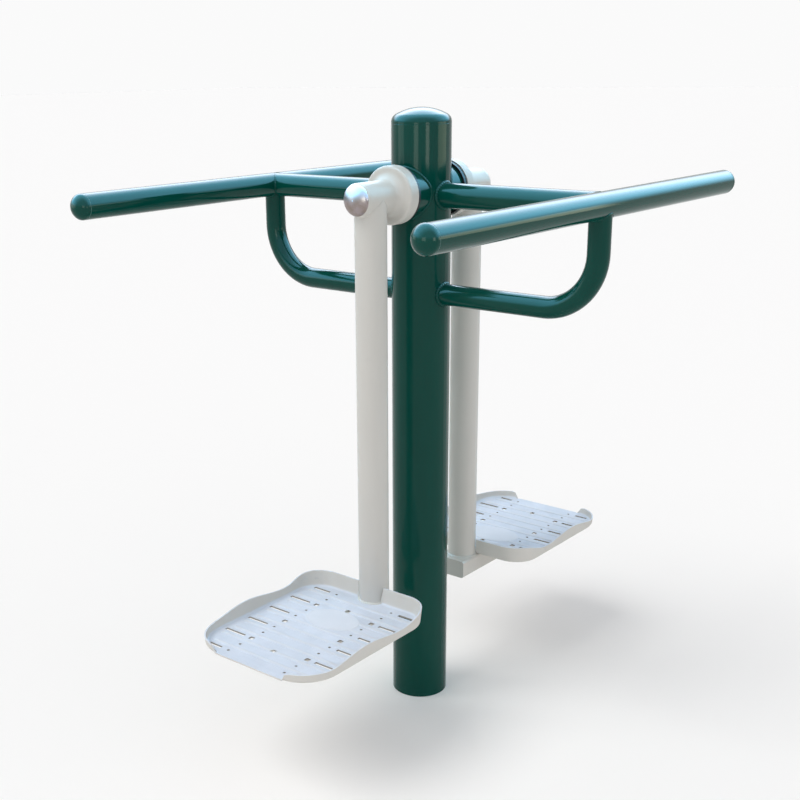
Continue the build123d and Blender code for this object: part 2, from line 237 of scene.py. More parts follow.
def strip_light(name, angle, width, radiance, colour):
    """An upright strip that faces the post's axis."""
    lamp_data = bpy.data.lights.new(name, "AREA")
    lamp_data.shape = "RECTANGLE"
    lamp_data.size = width
    lamp_data.size_y = strip_high - strip_low
    lamp_data.energy = radiance * math.pi * width * lamp_data.size_y
    lamp_data.color = colour
    lamp = bpy.data.objects.new(name, lamp_data)
    outward = Vector((math.cos(math.radians(angle)), math.sin(math.radians(angle)), 0))
    lamp.matrix_world = outward.to_track_quat("Z", "Y").to_matrix().to_4x4()
    lamp.location = outward * strip_distance + Vector((0, 0, (strip_low + strip_high) / 2))
    lamp.visible_camera = False
    lamp.visible_diffuse = False
    bpy.context.scene.collection.objects.link(lamp)


strip_light("front_strip", angle=-31, width=0.34, radiance=5.0, colour=(0.95, 1.0, 0.86))
strip_light("left_strip", angle=-73, width=0.42, radiance=3.6, colour=(0.90, 1.0, 0.85))
strip_light("far_left_strip", angle=-136, width=0.75, radiance=1.9, colour=(0.85, 1.0, 0.90))
strip_light("right_strip", angle=30, width=1.00, radiance=3.2, colour=(0.95, 1.0, 0.70))
print("four strips ready")

# %% [markdown]
# ## Paint surface
# Sprayed and baked paint is never a perfect mirror. Its skin has a fine waviness, called orange peel, its
# tone drifts a little over a hand's width, dust lies on whatever faces up, and shoes and hands rub it.
# All the paints here share these four, so each is a node group that gives one value, and each material
# decides what to do with it. The noise reads Object coordinates, so it stays put on a swing that moves.

# %% Node group: orange peel and tone
def start_group(name, inputs, outputs):
    """Makes an empty shader group with named number inputs and outputs, and returns it with its two ends."""
    group = bpy.data.node_groups.new(name, "ShaderNodeTree")
    for label, value in inputs.items():
        socket = group.interface.new_socket(label, in_out="INPUT", socket_type="NodeSocketFloat")
        socket.default_value = value
    for label in outputs:
        group.interface.new_socket(label, in_out="OUTPUT", socket_type="NodeSocketFloat")
    return group, group.nodes.new("NodeGroupInput"), group.nodes.new("NodeGroupOutput")


streak_squeeze = 0.15


def paint_skin_group():
    """Orange peel as a height, and drift of the tone as a mask, drawn out downwards like rain streaks."""
    scales = {"Peel Scale": 420.0, "Tone Scale": 20.0}
    group, entry, result = start_group("paint_skin", scales, ("Peel", "Tone"))
    place = add_node(group, "ShaderNodeTexCoord")
    streaks = add_node(group, "ShaderNodeMapping", Scale=(1.0, 1.0, streak_squeeze))
    join(group, place, "Object", streaks, "Vector")
    peel = add_node(group, "ShaderNodeTexNoise", Detail=2.0, Roughness=0.45)
    tone = add_node(group, "ShaderNodeTexNoise", Detail=4.0, Roughness=0.6)
    join(group, place, "Object", peel, "Vector")
    join(group, streaks, "Vector", tone, "Vector")
    for noise, scale, label in ((peel, "Peel Scale", "Peel"), (tone, "Tone Scale", "Tone")):
        join(group, entry, scale, noise, "Scale")
        join(group, noise, "Fac", result, label)
    return group


paint_skin = paint_skin_group()
print("group", paint_skin.name)

# %% Node group: dust and painted sky on what faces up
def dust_and_sky_mask_group():
    """A mask strong on faces that look up, broken by noise unless even: dust on paints, painted sky on the
    tread.
    """
    values = {"Scale": 24.0, "Least Slope": 0.35, "Full Slope": 1.0, "Evenness": 0.0}
    group, entry, result = start_group("dust_and_sky_mask", values, ("Mask",))
    place = add_node(group, "ShaderNodeTexCoord")
    split = add_node(group, "ShaderNodeSeparateXYZ")
    join(group, place, "Normal", split, "Vector")
    facing_up = add_node(group, "ShaderNodeMapRange", {"interpolation_type": "SMOOTHSTEP"})
    join(group, split, "Z", facing_up, "Value")
    join(group, entry, "Least Slope", facing_up, "From Min")
    join(group, entry, "Full Slope", facing_up, "From Max")
    patches = add_node(group, "ShaderNodeTexNoise", Detail=6.0, Roughness=0.62)
    join(group, place, "Object", patches, "Vector")
    join(group, entry, "Scale", patches, "Scale")
    clumps = add_node(group, "ShaderNodeMapRange", From_Min=0.36, From_Max=0.72)
    join(group, patches, "Fac", clumps, "Value")
    join(group, entry, "Evenness", clumps, "To Min")
    mask = add_node(group, "ShaderNodeMath", {"operation": "MULTIPLY", "use_clamp": True})
    join(group, facing_up, "Result", mask, 0)
    join(group, clumps, "Result", mask, 1)
    join(group, mask, "Value", result, "Mask")
    return group


dust_and_sky_mask = dust_and_sky_mask_group()
print("group", dust_and_sky_mask.name)

# %% Node group: rubbed marks
scuff_squeeze = 0.18


def rubbed_marks_group():
    """A mask of short scuffs that run across the board, kept to worn patches."""
    group, entry, result = start_group("rubbed_marks", {"Scuff Scale": 60.0, "Patch Scale": 9.0}, ("Mask",))
    place = add_node(group, "ShaderNodeTexCoord")
    stretch = add_node(group, "ShaderNodeMapping", Scale=(scuff_squeeze, 1.0, 1.0))
    join(group, place, "Object", stretch, "Vector")
    scuffs = add_node(group, "ShaderNodeTexNoise", Detail=5.0, Roughness=0.7)
    join(group, stretch, "Vector", scuffs, "Vector")
    join(group, entry, "Scuff Scale", scuffs, "Scale")
    lines = add_node(group, "ShaderNodeMapRange", From_Min=0.56, From_Max=0.7)
    join(group, scuffs, "Fac", lines, "Value")
    patches = add_node(group, "ShaderNodeTexNoise", Detail=2.0, Roughness=0.5)
    join(group, place, "Object", patches, "Vector")
    join(group, entry, "Patch Scale", patches, "Scale")
    crown_mask = add_node(group, "ShaderNodeMapRange", From_Min=0.42, From_Max=0.66)
    join(group, patches, "Fac", crown_mask, "Value")
    mask = add_node(group, "ShaderNodeMath", {"operation": "MULTIPLY", "use_clamp": True})
    join(group, lines, "Result", mask, 0)
    join(group, crown_mask, "Result", mask, 1)
    join(group, mask, "Value", result, "Mask")
    return group


rubbed_marks = rubbed_marks_group()
print("group", rubbed_marks.name)

# %% [markdown]
# ## Paints
# The frame is a deep blue green with a hard gloss. The swings are a warm off white with a softer gloss.
# Both are the same recipe: two close tones mixed by the drift mask, then dust and scuffs over them,
# orange peel as a bump. What is the same all over, such as how strongly the paint mirrors, is set
# straight on the shader.

# %% A recipe for baked paint
def use_group(tree, group, **inputs):
    """Places a node group in a material, with its own values."""
    used = tree.nodes.new("ShaderNodeGroup")
    used.node_tree = group
    for name, value in inputs.items():
        used.inputs[name.replace("_", " ")].default_value = value
    return used


def mix_colour(tree, mask, output, under, over):
    """A colour mix by a mask. A tuple is a fixed colour, a node is the mix that comes before."""
    mix = add_node(tree, "ShaderNodeMix", {"data_type": "RGBA"})
    join(tree, mask, output, mix, "Factor")
    for colour, socket in ((under, 6), (over, 7)):
        if isinstance(colour, tuple):
            mix.inputs[socket].default_value = colour
        else:
            tree.links.new(colour.outputs[2], mix.inputs[socket])
    return mix


def part_of(tree, mask, output, share):
    """A mask turned down to a share of itself."""
    less = add_node(tree, "ShaderNodeMath", {"operation": "MULTIPLY"})
    join(tree, mask, output, less, 0)
    less.inputs[1].default_value = share
    return less


def baked_paint(name, deep, light, dust, mirror, smooth, rough, dust_share, mark, mark_share, peel_depth):
    """Gloss paint: two tones, dust on top, scuffs, orange peel."""
    paint = bpy.data.materials.new(name)
    paint.use_nodes = True
    tree = paint.node_tree
    shader = tree.nodes["Principled BSDF"]
    shader.inputs["Specular IOR Level"].default_value = mirror
    skin = use_group(tree, paint_skin)
    dusty = part_of(tree, use_group(tree, dust_and_sky_mask), "Mask", dust_share)
    marked = part_of(tree, use_group(tree, rubbed_marks), "Mask", mark_share)
    tones = mix_colour(tree, skin, "Tone", deep, light)
    scuffed = mix_colour(tree, marked, "Value", tones, mark)
    finished = mix_colour(tree, dusty, "Value", scuffed, dust)
    tree.links.new(finished.outputs[2], shader.inputs["Base Color"])
    veil = add_node(tree, "ShaderNodeMath", {"operation": "ADD", "use_clamp": True})
    join(tree, dusty, "Value", veil, 0)
    join(tree, marked, "Value", veil, 1)
    gloss = add_node(tree, "ShaderNodeMapRange", To_Min=smooth, To_Max=rough)
    join(tree, veil, "Value", gloss, "Value")
    join(tree, gloss, "Result", shader, "Roughness")
    bump = add_node(tree, "ShaderNodeBump", Strength=1.0, Distance=peel_depth)
    join(tree, skin, "Peel", bump, "Height")
    join(tree, bump, "Normal", shader, "Normal")
    return paint


cream_mirror = 0.25
cream_smooth = 0.42
green_paint = baked_paint("green_paint", deep=(0.0004, 0.047, 0.035, 1), light=(0.0012, 0.060, 0.046, 1),
                          dust=(0.13, 0.16, 0.15, 1), mirror=0.15, smooth=0.10, rough=0.5,
                          dust_share=0.08, mark=(0.012, 0.075, 0.062, 1), mark_share=0.12,
                          peel_depth=0.00003)
cream_paint = baked_paint("cream_paint", deep=(0.565, 0.545, 0.505, 1), light=(0.640, 0.615, 0.570, 1),
                          dust=(0.45, 0.42, 0.37, 1), mirror=cream_mirror, smooth=cream_smooth, rough=0.65,
                          dust_share=0.12, mark=(0.47, 0.45, 0.42, 1), mark_share=0.12,
                          peel_depth=0.00004)
print("paints:", green_paint.name, cream_paint.name)

# %% [markdown]
# ## Tread finish
# The trays are cream like the arms, but the face that feet stand on is painted cooler and paler, a painted
# reflection of the sky. It is found by its direction, so only what faces up gets it. Whatever stands proud
# of the sheet, the ribs and the oval pad, is paler still, partly rubbed by soles and partly a painted
# highlight;
# these are found by their height. The walls of the slots and holes get a painted shade, so the slots read
# dark:
# the mesh will carry a value named cut_edge there, and this material reads it.

# %% The tread's paint
sheet = 0.003
tray_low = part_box("rear_pedal")[0]
tread_top = tray_low.z + sheet
tread_mirror = 0.04
tread_smooth = 0.46
tread_rough = 0.75
tread_peel = 0.00004
crown_from = 0.0003
crown_full = 0.0014
crown_share = 0.5
scuff_share = 0.35


def proud_mask(tree, low, high):
    """A mask that rises from one height to another."""
    place = add_node(tree, "ShaderNodeTexCoord")
    split = add_node(tree, "ShaderNodeSeparateXYZ")
    join(tree, place, "Object", split, "Vector")
    rise = add_node(tree, "ShaderNodeMapRange", From_Min=low, From_Max=high)
    join(tree, split, "Z", rise, "Value")
    return rise


def tread_finish(name, cream_deep, cream_light, sky_face_deep, sky_face_light, crown_wear_and_highlight, mark, painted_slot_shade):
    """Cream rim, a cool pale face that is a painted sky reflection, crowns rubbed and painted as highlights,
    scuffs, painted shade on the cut walls.
    """
    paint = bpy.data.materials.new(name)
    paint.use_nodes = True
    tree = paint.node_tree
    shader = tree.nodes["Principled BSDF"]
    shader.inputs["Specular IOR Level"].default_value = tread_mirror
    skin = use_group(tree, paint_skin)
    # Painted sky reflection: what faces up gets the cool pale face tones.
    facing = use_group(tree, dust_and_sky_mask, Least_Slope=0.2, Full_Slope=0.7, Evenness=1.0)
    marked = part_of(tree, use_group(tree, rubbed_marks), "Mask", scuff_share)
    cut = add_node(tree, "ShaderNodeAttribute", {"attribute_name": "cut_edge"})
    rim_tones = mix_colour(tree, skin, "Tone", cream_deep, cream_light)
    painted_sky_tones = mix_colour(tree, skin, "Tone", sky_face_deep, sky_face_light)
    # Raised ribs and pad: paler crowns, partly wear from soles and partly a painted highlight.
    proud = proud_mask(tree, tread_top + crown_from, tread_top + crown_full)
    crown_mask = part_of(tree, proud, "Result", crown_share)
    lit_worn_crowns = mix_colour(tree, crown_mask, "Value", painted_sky_tones, crown_wear_and_highlight)
    both = mix_colour(tree, facing, "Mask", rim_tones, lit_worn_crowns)
    scuffed = mix_colour(tree, marked, "Value", both, mark)
    # Painted shade: the cut walls of slots and holes are darkened so the slots read dark.
    finished = mix_colour(tree, cut, "Fac", scuffed, painted_slot_shade)
    tree.links.new(finished.outputs[2], shader.inputs["Base Color"])
    gloss = add_node(tree, "ShaderNodeMapRange", To_Min=tread_smooth, To_Max=tread_rough)
    join(tree, marked, "Value", gloss, "Value")
    join(tree, gloss, "Result", shader, "Roughness")
    bump = add_node(tree, "ShaderNodeBump", Strength=1.0, Distance=tread_peel)
    join(tree, skin, "Peel", bump, "Height")
    join(tree, bump, "Normal", shader, "Normal")
    return paint


# The face tones are a painted sky reflection, the crown is partly a painted highlight, the last colour is
# painted shade in the slots.
tread_paint = tread_finish("tread_paint",
                           cream_deep=(0.63, 0.61, 0.57, 1), cream_light=(0.67, 0.65, 0.61, 1),
                           sky_face_deep=(0.50, 0.55, 0.625, 1), sky_face_light=(0.70, 0.74, 0.825, 1),
                           crown_wear_and_highlight=(0.68, 0.70, 0.735, 1), mark=(0.40, 0.42, 0.44, 1),
                           painted_slot_shade=(0.30, 0.285, 0.26, 1))
print("paint:", tread_paint.name)

# %% [markdown]
# ## Bare metal and rubber
# The hub's domed cap is plated, and weather has softened its shine. It is a metal whose roughness drifts,
# as fingermarks make it, and its side that faces down is painted browner, a painted reflection of brown
# ground. The tube's cream paint laps over the cap's edge, up to a line found by its distance from the post.
# Axle, nuts, stops and bearings sit inside and are plain turned steel, also browner towards what faces
# down. The dust ring and the stops' buffers are black rubber: dark, dull and a little grey where dust holds.

# %% Node group: brown on what faces down
def brown_below_mask_group():
    """A patchy mask on what faces sideways and down; on the plated cap it carries a painted reflection of
    brown ground.
    """
    group, entry, result = start_group("brown_below_mask", {"Scale": 60.0}, ("Mask",))
    place = add_node(group, "ShaderNodeTexCoord")
    split = add_node(group, "ShaderNodeSeparateXYZ")
    join(group, place, "Normal", split, "Vector")
    facing_down = add_node(group, "ShaderNodeMapRange", {"interpolation_type": "SMOOTHSTEP"},
                           From_Min=0.70, From_Max=-0.15)
    join(group, split, "Z", facing_down, "Value")
    patches = add_node(group, "ShaderNodeTexNoise", Detail=5.0, Roughness=0.6)
    join(group, place, "Object", patches, "Vector")
    join(group, entry, "Scale", patches, "Scale")
    patchy = add_node(group, "ShaderNodeMapRange", From_Min=0.30, From_Max=0.62, To_Min=0.35)
    join(group, patches, "Fac", patchy, "Value")
    mask = add_node(group, "ShaderNodeMath", {"operation": "MULTIPLY", "use_clamp": True})
    join(group, facing_down, "Result", mask, 0)
    join(group, patchy, "Result", mask, 1)
    join(group, mask, "Value", result, "Mask")
    return group


brown_below_mask = brown_below_mask_group()
print("group", brown_below_mask.name)

# %% Paint that laps over the plated cap
hub_tube_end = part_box("rear_hub_tube")[1].y
cap_edge = 0.0085
lap_blur = 0.0003
lap_line = hub_tube_end + cap_edge
lap_cream = (0.61, 0.585, 0.54, 1)


def lapped_paint(tree, shader, metal_mix, gloss, colour):
    """Paint over a metal's edge, up to the lap line at both ends of the axle: dull and not metallic."""
    shader.inputs["Specular IOR Level"].default_value = cream_mirror
    place = add_node(tree, "ShaderNodeTexCoord")
    split = add_node(tree, "ShaderNodeSeparateXYZ")
    join(tree, place, "Object", split, "Vector")
    from_post = add_node(tree, "ShaderNodeMath", {"operation": "ABSOLUTE"})
    join(tree, split, "Y", from_post, 0)
    bare = add_node(tree, "ShaderNodeMapRange", From_Min=lap_line - lap_blur, From_Max=lap_line + lap_blur)
    join(tree, from_post, "Value", bare, "Value")
    painted = mix_colour(tree, bare, "Result", colour, metal_mix)
    tree.links.new(painted.outputs[2], shader.inputs["Base Color"])
    surface = add_node(tree, "ShaderNodeMix", A=cream_smooth)
    join(tree, bare, "Result", surface, "Factor")
    join(tree, gloss, "Result", surface, 3)
    tree.links.new(surface.outputs[0], shader.inputs["Roughness"])
    join(tree, bare, "Result", shader, "Metallic")


print("paint ends", round(lap_line, 4), "m from the post's axis")

# %% Plated cap, turned steel, rubber
def bare_metal(name, tint, stained, stain, smooth, rough, ripple, ripple_scale, lap=None):
    """A metal whose tint and roughness drift, browner on what faces down, with a fine ripple and, if asked,
    a painted edge.
    """
    metal = bpy.data.materials.new(name)
    metal.use_nodes = True
    tree = metal.node_tree
    shader = tree.nodes["Principled BSDF"]
    shader.inputs["Metallic"].default_value = 1.0
    skin = use_group(tree, paint_skin, Peel_Scale=ripple_scale, Tone_Scale=28.0)
    tones = mix_colour(tree, skin, "Tone", tint, stained)
    # Browner on what faces down: on the plated cap this is a painted reflection of brown ground.
    down_browned = mix_colour(tree, use_group(tree, brown_below_mask), "Mask", tones, stain)
    tree.links.new(down_browned.outputs[2], shader.inputs["Base Color"])
    gloss = add_node(tree, "ShaderNodeMapRange", From_Min=0.3, From_Max=0.7, To_Min=smooth, To_Max=rough)
    join(tree, skin, "Tone", gloss, "Value")
    join(tree, gloss, "Result", shader, "Roughness")
    if lap:
        lapped_paint(tree, shader, down_browned, gloss, lap)
    bump = add_node(tree, "ShaderNodeBump", Strength=1.0, Distance=ripple)
    join(tree, skin, "Peel", bump, "Height")
    join(tree, bump, "Normal", shader, "Normal")
    return metal


# The plated cap's brown below is a painted reflection of the ground.
bright_steel = bare_metal("bright_steel", tint=(0.44, 0.39, 0.44, 1), stained=(0.39, 0.34, 0.37, 1),
                          stain=(0.27, 0.225, 0.20, 1), smooth=0.26, rough=0.38,
                          ripple=0.00003, ripple_scale=110.0, lap=lap_cream)
steel = bare_metal("steel", tint=(0.44, 0.44, 0.45, 1), stained=(0.36, 0.35, 0.34, 1),
                   stain=(0.20, 0.16, 0.12, 1), smooth=0.28, rough=0.46,
                   ripple=0.00003, ripple_scale=700.0)
black_rubber = baked_paint("black_rubber", deep=(0.010, 0.010, 0.011, 1), light=(0.018, 0.018, 0.019, 1),
                           dust=(0.09, 0.088, 0.082, 1), mirror=0.30, smooth=0.48, rough=0.75,
                           dust_share=0.45, mark=(0.035, 0.035, 0.035, 1), mark_share=0.3,
                           peel_depth=0.00006)
print("metals and rubber ready")

# %% [markdown]
# ## Finishes for the CAD pieces
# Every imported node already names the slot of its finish. The node keeps its mesh and only its material
# changes.

# %% Hand out the finishes
finishes = {"green_paint": green_paint, "cream_paint": cream_paint, "bright_steel": bright_steel,
            "steel": steel, "black_rubber": black_rubber}
for node in nodes.values():
    slot_name = node.data.materials[0].name.split(".")[0]
    node.data.materials[0] = finishes[slot_name]
print("finished", len(nodes), "CAD nodes")

# %% [markdown]
# ## Weld beads
# All tubes are welded, and the painted bead is what the eye finds at every joint. Where one round tube
# meets another, the bead follows a saddle line. A torus is the natural start: it is already a closed ring
# of bead, so its ring is laid along the saddle line and its section is kept round, with a small swell at
# every pass of the torch. Each bead is made once on the right or rear and copied by half a turn to the
# other side.

# %% Helpers for new pieces
half_turn = Matrix.Rotation(math.pi, 4, "Z")


def start_piece():
    """Leaves edit mode and deselects everything, so the next operator acts on the new piece alone."""
    if bpy.context.object and bpy.context.object.mode == "EDIT":
        bpy.ops.object.mode_set(mode="OBJECT")
    bpy.ops.object.select_all(action="DESELECT")


def finish_piece(piece, name, body, finish, smooth_angle=40):
    """Names a piece, gives it its finish and lets it ride on its body."""
    piece.name = name
    piece.data.name = name
    piece.data.materials.clear()
    piece.data.materials.append(finish)
    start_piece()
    piece.select_set(True)
    bpy.context.view_layer.objects.active = piece
    bpy.ops.object.shade_smooth_by_angle(angle=math.radians(smooth_angle))
    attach(piece, body)
    return piece


def turned_copy(piece, name, body, finish):
    """A copy with its own mesh, turned half round the post."""
    twin = bpy.data.objects.new(name, piece.data.copy())
    bpy.context.scene.collection.objects.link(twin)
    twin.data.transform(half_turn)
    return finish_piece(twin, name, body, finish)


def span(node):
    """Middle and half size of a CAD node."""
    low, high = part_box(node)
    return (low + high) / 2, (high - low) / 2


print("piece helpers ready")

# %% A bead along the saddle of two tubes
pass_length = 0.0045
bead_steps = 144
bead_sections = 12
least_side = 0.2
side_gain = 2.5


def bead_ring(name, line, bead, passes, swell=0.10, side_share=1.0):
    """A torus laid along a closed line. line(turn) gives the point and the two directions of the section.

    side_share thins the bead a quarter turn away from the line's start."""
    start_piece()
    bpy.ops.mesh.primitive_torus_add(major_radius=1, minor_radius=0.25, major_segments=bead_steps,
                                     minor_segments=bead_sections)
    ring = bpy.context.object
    for vertex in ring.data.vertices:
        flat = math.hypot(vertex.co.x, vertex.co.y)
        turn = math.atan2(vertex.co.y, vertex.co.x)
        section = math.atan2(vertex.co.z, flat - 1)
        middle, out, side = line(turn)
        crotch = side_share + (1 - side_share) * math.cos(turn) ** 2
        thick = bead * crotch * (1 + swell * math.cos(passes * turn))
        vertex.co = middle + out * thick * math.cos(section) + side * thick * math.sin(section)
    start_piece()
    ring.select_set(True)
    bpy.context.view_layer.objects.active = ring
    bpy.ops.object.mode_set(mode="EDIT")
    bpy.ops.mesh.select_all(action="SELECT")
    bpy.ops.mesh.normals_make_consistent(inside=False)
    bpy.ops.object.mode_set(mode="OBJECT")
    ring.name = name
    return ring


def saddle_line(joint, outward, along, tube_radius, run_radius):
    """The line where a tube that leaves a run along outward meets it."""
    across = outward.cross(along)

    def line(turn):
        radial = along * math.cos(turn) + across * math.sin(turn)
        sideways = tube_radius * math.sin(turn)
        reach = math.sqrt(max(run_radius ** 2 - sideways ** 2, 0))
        return joint + radial * tube_radius + outward * reach, radial, outward

    return line


def saddle_bead(name, joint, outward, along, tube_radius, run_radius, bead):
    """A weld bead round the foot of a tube, thin at the sides where both tubes are nearly as wide."""
    passes = round(2 * math.pi * tube_radius / pass_length)
    side_share = min(1.0, least_side + side_gain * (1 - tube_radius / run_radius))
    line = saddle_line(joint, outward, along, tube_radius, run_radius)
    return bead_ring(name, line, bead, passes, side_share=side_share)


print("bead helpers ready")

# %% Beads of the frame
x_axis = Vector((1, 0, 0))
y_axis = Vector((0, 1, 0))
z_axis = Vector((0, 0, 1))
frame_bead = 0.0042
handle_bead = 0.0030
post_radius = span("main_post")[1].y
arm_middle, arm_half = span("right_arm")
bar_middle, bar_half = span("right_handlebar")
brace_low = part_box("right_brace")[0]
brace_radius = span("right_brace")[1].y
stub_middle, stub_half = span("rear_pivot_stub")
brace_run = Vector((0, 0, brace_low.z + brace_radius))
arm_at_post = Vector((0, 0, arm_middle.z))
stub_at_post = Vector((0, 0, stub_middle.z))
frame_joints = (
    ("right_arm_post_weld", "left_arm_post_weld",
     arm_at_post, x_axis, z_axis, arm_half.z, post_radius, frame_bead),
    ("right_arm_handle_weld", "left_arm_handle_weld",
     bar_middle, -x_axis, y_axis, arm_half.z, bar_half.x, handle_bead),
    ("right_brace_post_weld", "left_brace_post_weld",
     brace_run, x_axis, z_axis, brace_radius, post_radius, frame_bead),
    ("right_brace_handle_weld", "left_brace_handle_weld",
     bar_middle, -z_axis, y_axis, brace_radius, bar_half.x, handle_bead),
    ("rear_stub_post_weld", "front_stub_post_weld",
     stub_at_post, y_axis, z_axis, stub_half.x, post_radius, frame_bead),
)
for name, twin_name, joint, outward, along, tube_radius, run_radius, bead in frame_joints:
    weld = saddle_bead(name, joint, outward, along, tube_radius, run_radius, bead)
    finish_piece(weld, name, "frame", green_paint)
    turned_copy(weld, twin_name, "frame", green_paint)
print("frame beads:", 2 * len(frame_joints))

# %% Beads of the swings
swing_bead = 0.0034
hub_middle, hub_half = span("rear_hub_tube")
swing_middle, swing_half = span("rear_swing_arm")
swing_radius = swing_half.x
swing_at_hub = Vector((0, swing_middle.y, stub_middle.z))
hub_weld = saddle_bead("rear_arm_hub_weld", swing_at_hub, -z_axis, y_axis, swing_radius, hub_half.x,
                       swing_bead)
finish_piece(hub_weld, "rear_arm_hub_weld", "rear_swing", cream_paint)
turned_copy(hub_weld, "front_arm_hub_weld", "front_swing", cream_paint)
print("hub beads: 2")

# %% Bead at the arm's foot
foot_bead = 0.0030
tray_past_arm = 0.011
tray_inboard = swing_middle.y + tray_past_arm
step_run = 0.004


def foot_line(turn):
    """Round the arm's foot: on the carrier first, then up onto the tread."""
    radial = x_axis * math.cos(turn) + y_axis * math.sin(turn)
    y = swing_middle.y + swing_radius * math.sin(turn)
    onto_tread = min(max((y - tray_inboard) / step_run + 0.5, 0), 1)
    level = tray_low.z + sheet * onto_tread
    return Vector((swing_radius * math.cos(turn), y, level)), radial, z_axis


foot_passes = round(2 * math.pi * swing_radius / pass_length)
foot_weld = bead_ring("rear_arm_foot_weld", foot_line, foot_bead, foot_passes)
finish_piece(foot_weld, "rear_arm_foot_weld", "rear_swing", cream_paint)
turned_copy(foot_weld, "front_arm_foot_weld", "front_swing", cream_paint)
print("foot beads: 2")

# %% [markdown]
# ## Seams of the end caps
# Each domed cap is welded to its tube and dressed. The cap's broken edge leaves a groove there, and the
# dressed bead lies in it, no prouder than the tube, as a fine ring that catches the light. The handlebars'
# cap rings are painted a paler green, a painted highlight along the seam.

# %% Rings at the caps
seam_bead = 0.0011
seam_sink = 1.05 * seam_bead
seam_passes = 7
seam_swell = 0.03
# Painted highlight: the handlebars' cap rings get a paler green.
highlit_green = baked_paint("highlit_green", deep=(0.10, 0.21, 0.20, 1), light=(0.17, 0.30, 0.29, 1),
                           dust=(0.22, 0.26, 0.25, 1), mirror=0.25, smooth=0.25, rough=0.5,
                           dust_share=0.2, mark=(0.25, 0.36, 0.35, 1), mark_share=0.3,
                           peel_depth=0.00003)


def ring_line(middle, axis, radius):
    """A plain circle round an axis."""
    first = z_axis if abs(axis.z) < 0.5 else x_axis
    second = axis.cross(first)

    def line(turn):
        radial = first * math.cos(turn) + second * math.sin(turn)
        return middle + radial * radius, radial, axis

    return line


def cap_seam(name, middle, axis, radius, body, finish):
    """A dressed ring in the groove between a tube and its cap."""
    line = ring_line(middle, axis, radius - seam_sink)
    ring = bead_ring(name, line, seam_bead, seam_passes, seam_swell)
    return finish_piece(ring, name, body, finish)


post_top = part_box("main_post")[1].z
cap_seam("post_cap_seam", Vector((0, 0, post_top)), z_axis, post_radius, "frame", green_paint)
for twin_name, name, side in (("left_handle_rear_seam", "right_handle_front_seam", -1),
                              ("left_handle_front_seam", "right_handle_rear_seam", 1)):
    bar_end = bar_middle + y_axis * side * bar_half.y
    seam = cap_seam(name, bar_end, y_axis, bar_half.x, "frame", highlit_green)
    turned_copy(seam, twin_name, "frame", highlit_green)
hub_end = Vector((0, hub_tube_end, hub_middle.z))
seam = cap_seam("rear_hub_cap_seam", hub_end, y_axis, hub_half.x, "rear_swing", cream_paint)
turned_copy(seam, "front_hub_cap_seam", "front_swing", cream_paint)
print("cap seams: 7")

# %% [markdown]
# ## Pedal trays
# A pedal is one pressed sheet: a flat tread whose edge is folded up into a flared rim. The rim is high
# beside the arm, dips, rises again and runs out low, and it is open at the outer end where a foot steps
# on. It could be cut from blocks, but a sheet is better grown like the pressing: a flat plate with round
# corners, whose edge is extruded ring by ring through the fold and up the rim. Thickness, ribs and holes
# come last.

# %% The rim's shape along the tray
tray_half_width = 0.150
tray_length = 0.355
inboard_corner = 0.055
outboard_corner = 0.075
fold = 0.008
flare = math.tan(math.radians(6))
tray_outboard = tray_inboard + tray_length
tray_middle = tray_inboard + tray_length / 2
base = tray_low.z
stations = ((0.014, 0.036), (0.094, 0.020), (tray_length - 0.155, 0.031), (tray_length - 0.045, 0.018))
opening_half = 0.086
opening_run = 0.012
notch_half = 0.0285
notch_run = 0.002
sheet_end = 0.0018
hair = 1e-4


def rim_height(y):
    """Height of the rim's top edge, eased from station to station."""
    run = y - tray_inboard
    if run <= stations[0][0]:
        return stations[0][1]
    for (start, low), (end, high) in zip(stations, stations[1:]):
        if run <= end:
            progress = (1 - math.cos(math.pi * (run - start) / (end - start))) / 2
            return low + (high - low) * progress
    return stations[-1][1]


def rounded_rise(distance, run):
    """A quarter round from 0 to 1 over a run."""
    share = min(max(distance / run, 0), 1)
    return math.sqrt(1 - (1 - share) ** 2)


def rim_share(point):
    """How much of the rim stands at a point of the outline: none at the arm's notch and the open end."""
    if point.y > tray_outboard - outboard_corner:
        return rounded_rise(abs(point.x) - opening_half, opening_run)
    if point.y < tray_inboard + fold + hair:
        return rounded_rise(abs(point.x) - notch_half, notch_run)
    return 1.0


print("rim heights:", [round(rim_height(tray_inboard + run), 4) for run, height in stations])

# %% A flat plate with round corners
corner_segments = 14
long_edge = 0.1
edge_cuts = 47


def corner_at(y):
    """Corner radius of the end that a distance from the post belongs to."""
    return inboard_corner if y < tray_middle else outboard_corner


def outline_normal(point):
    """Outward direction of the rounded outline at a point on it or inside its edge."""
    corner = corner_at(point.y)
    past_side = max(abs(point.x) - (tray_half_width - corner), 0)
    past_end = max(abs(point.y - tray_middle) - (tray_length / 2 - corner), 0)
    past = Vector((math.copysign(past_side, point.x), math.copysign(past_end, point.y - tray_middle), 0))
    return past.normalized()


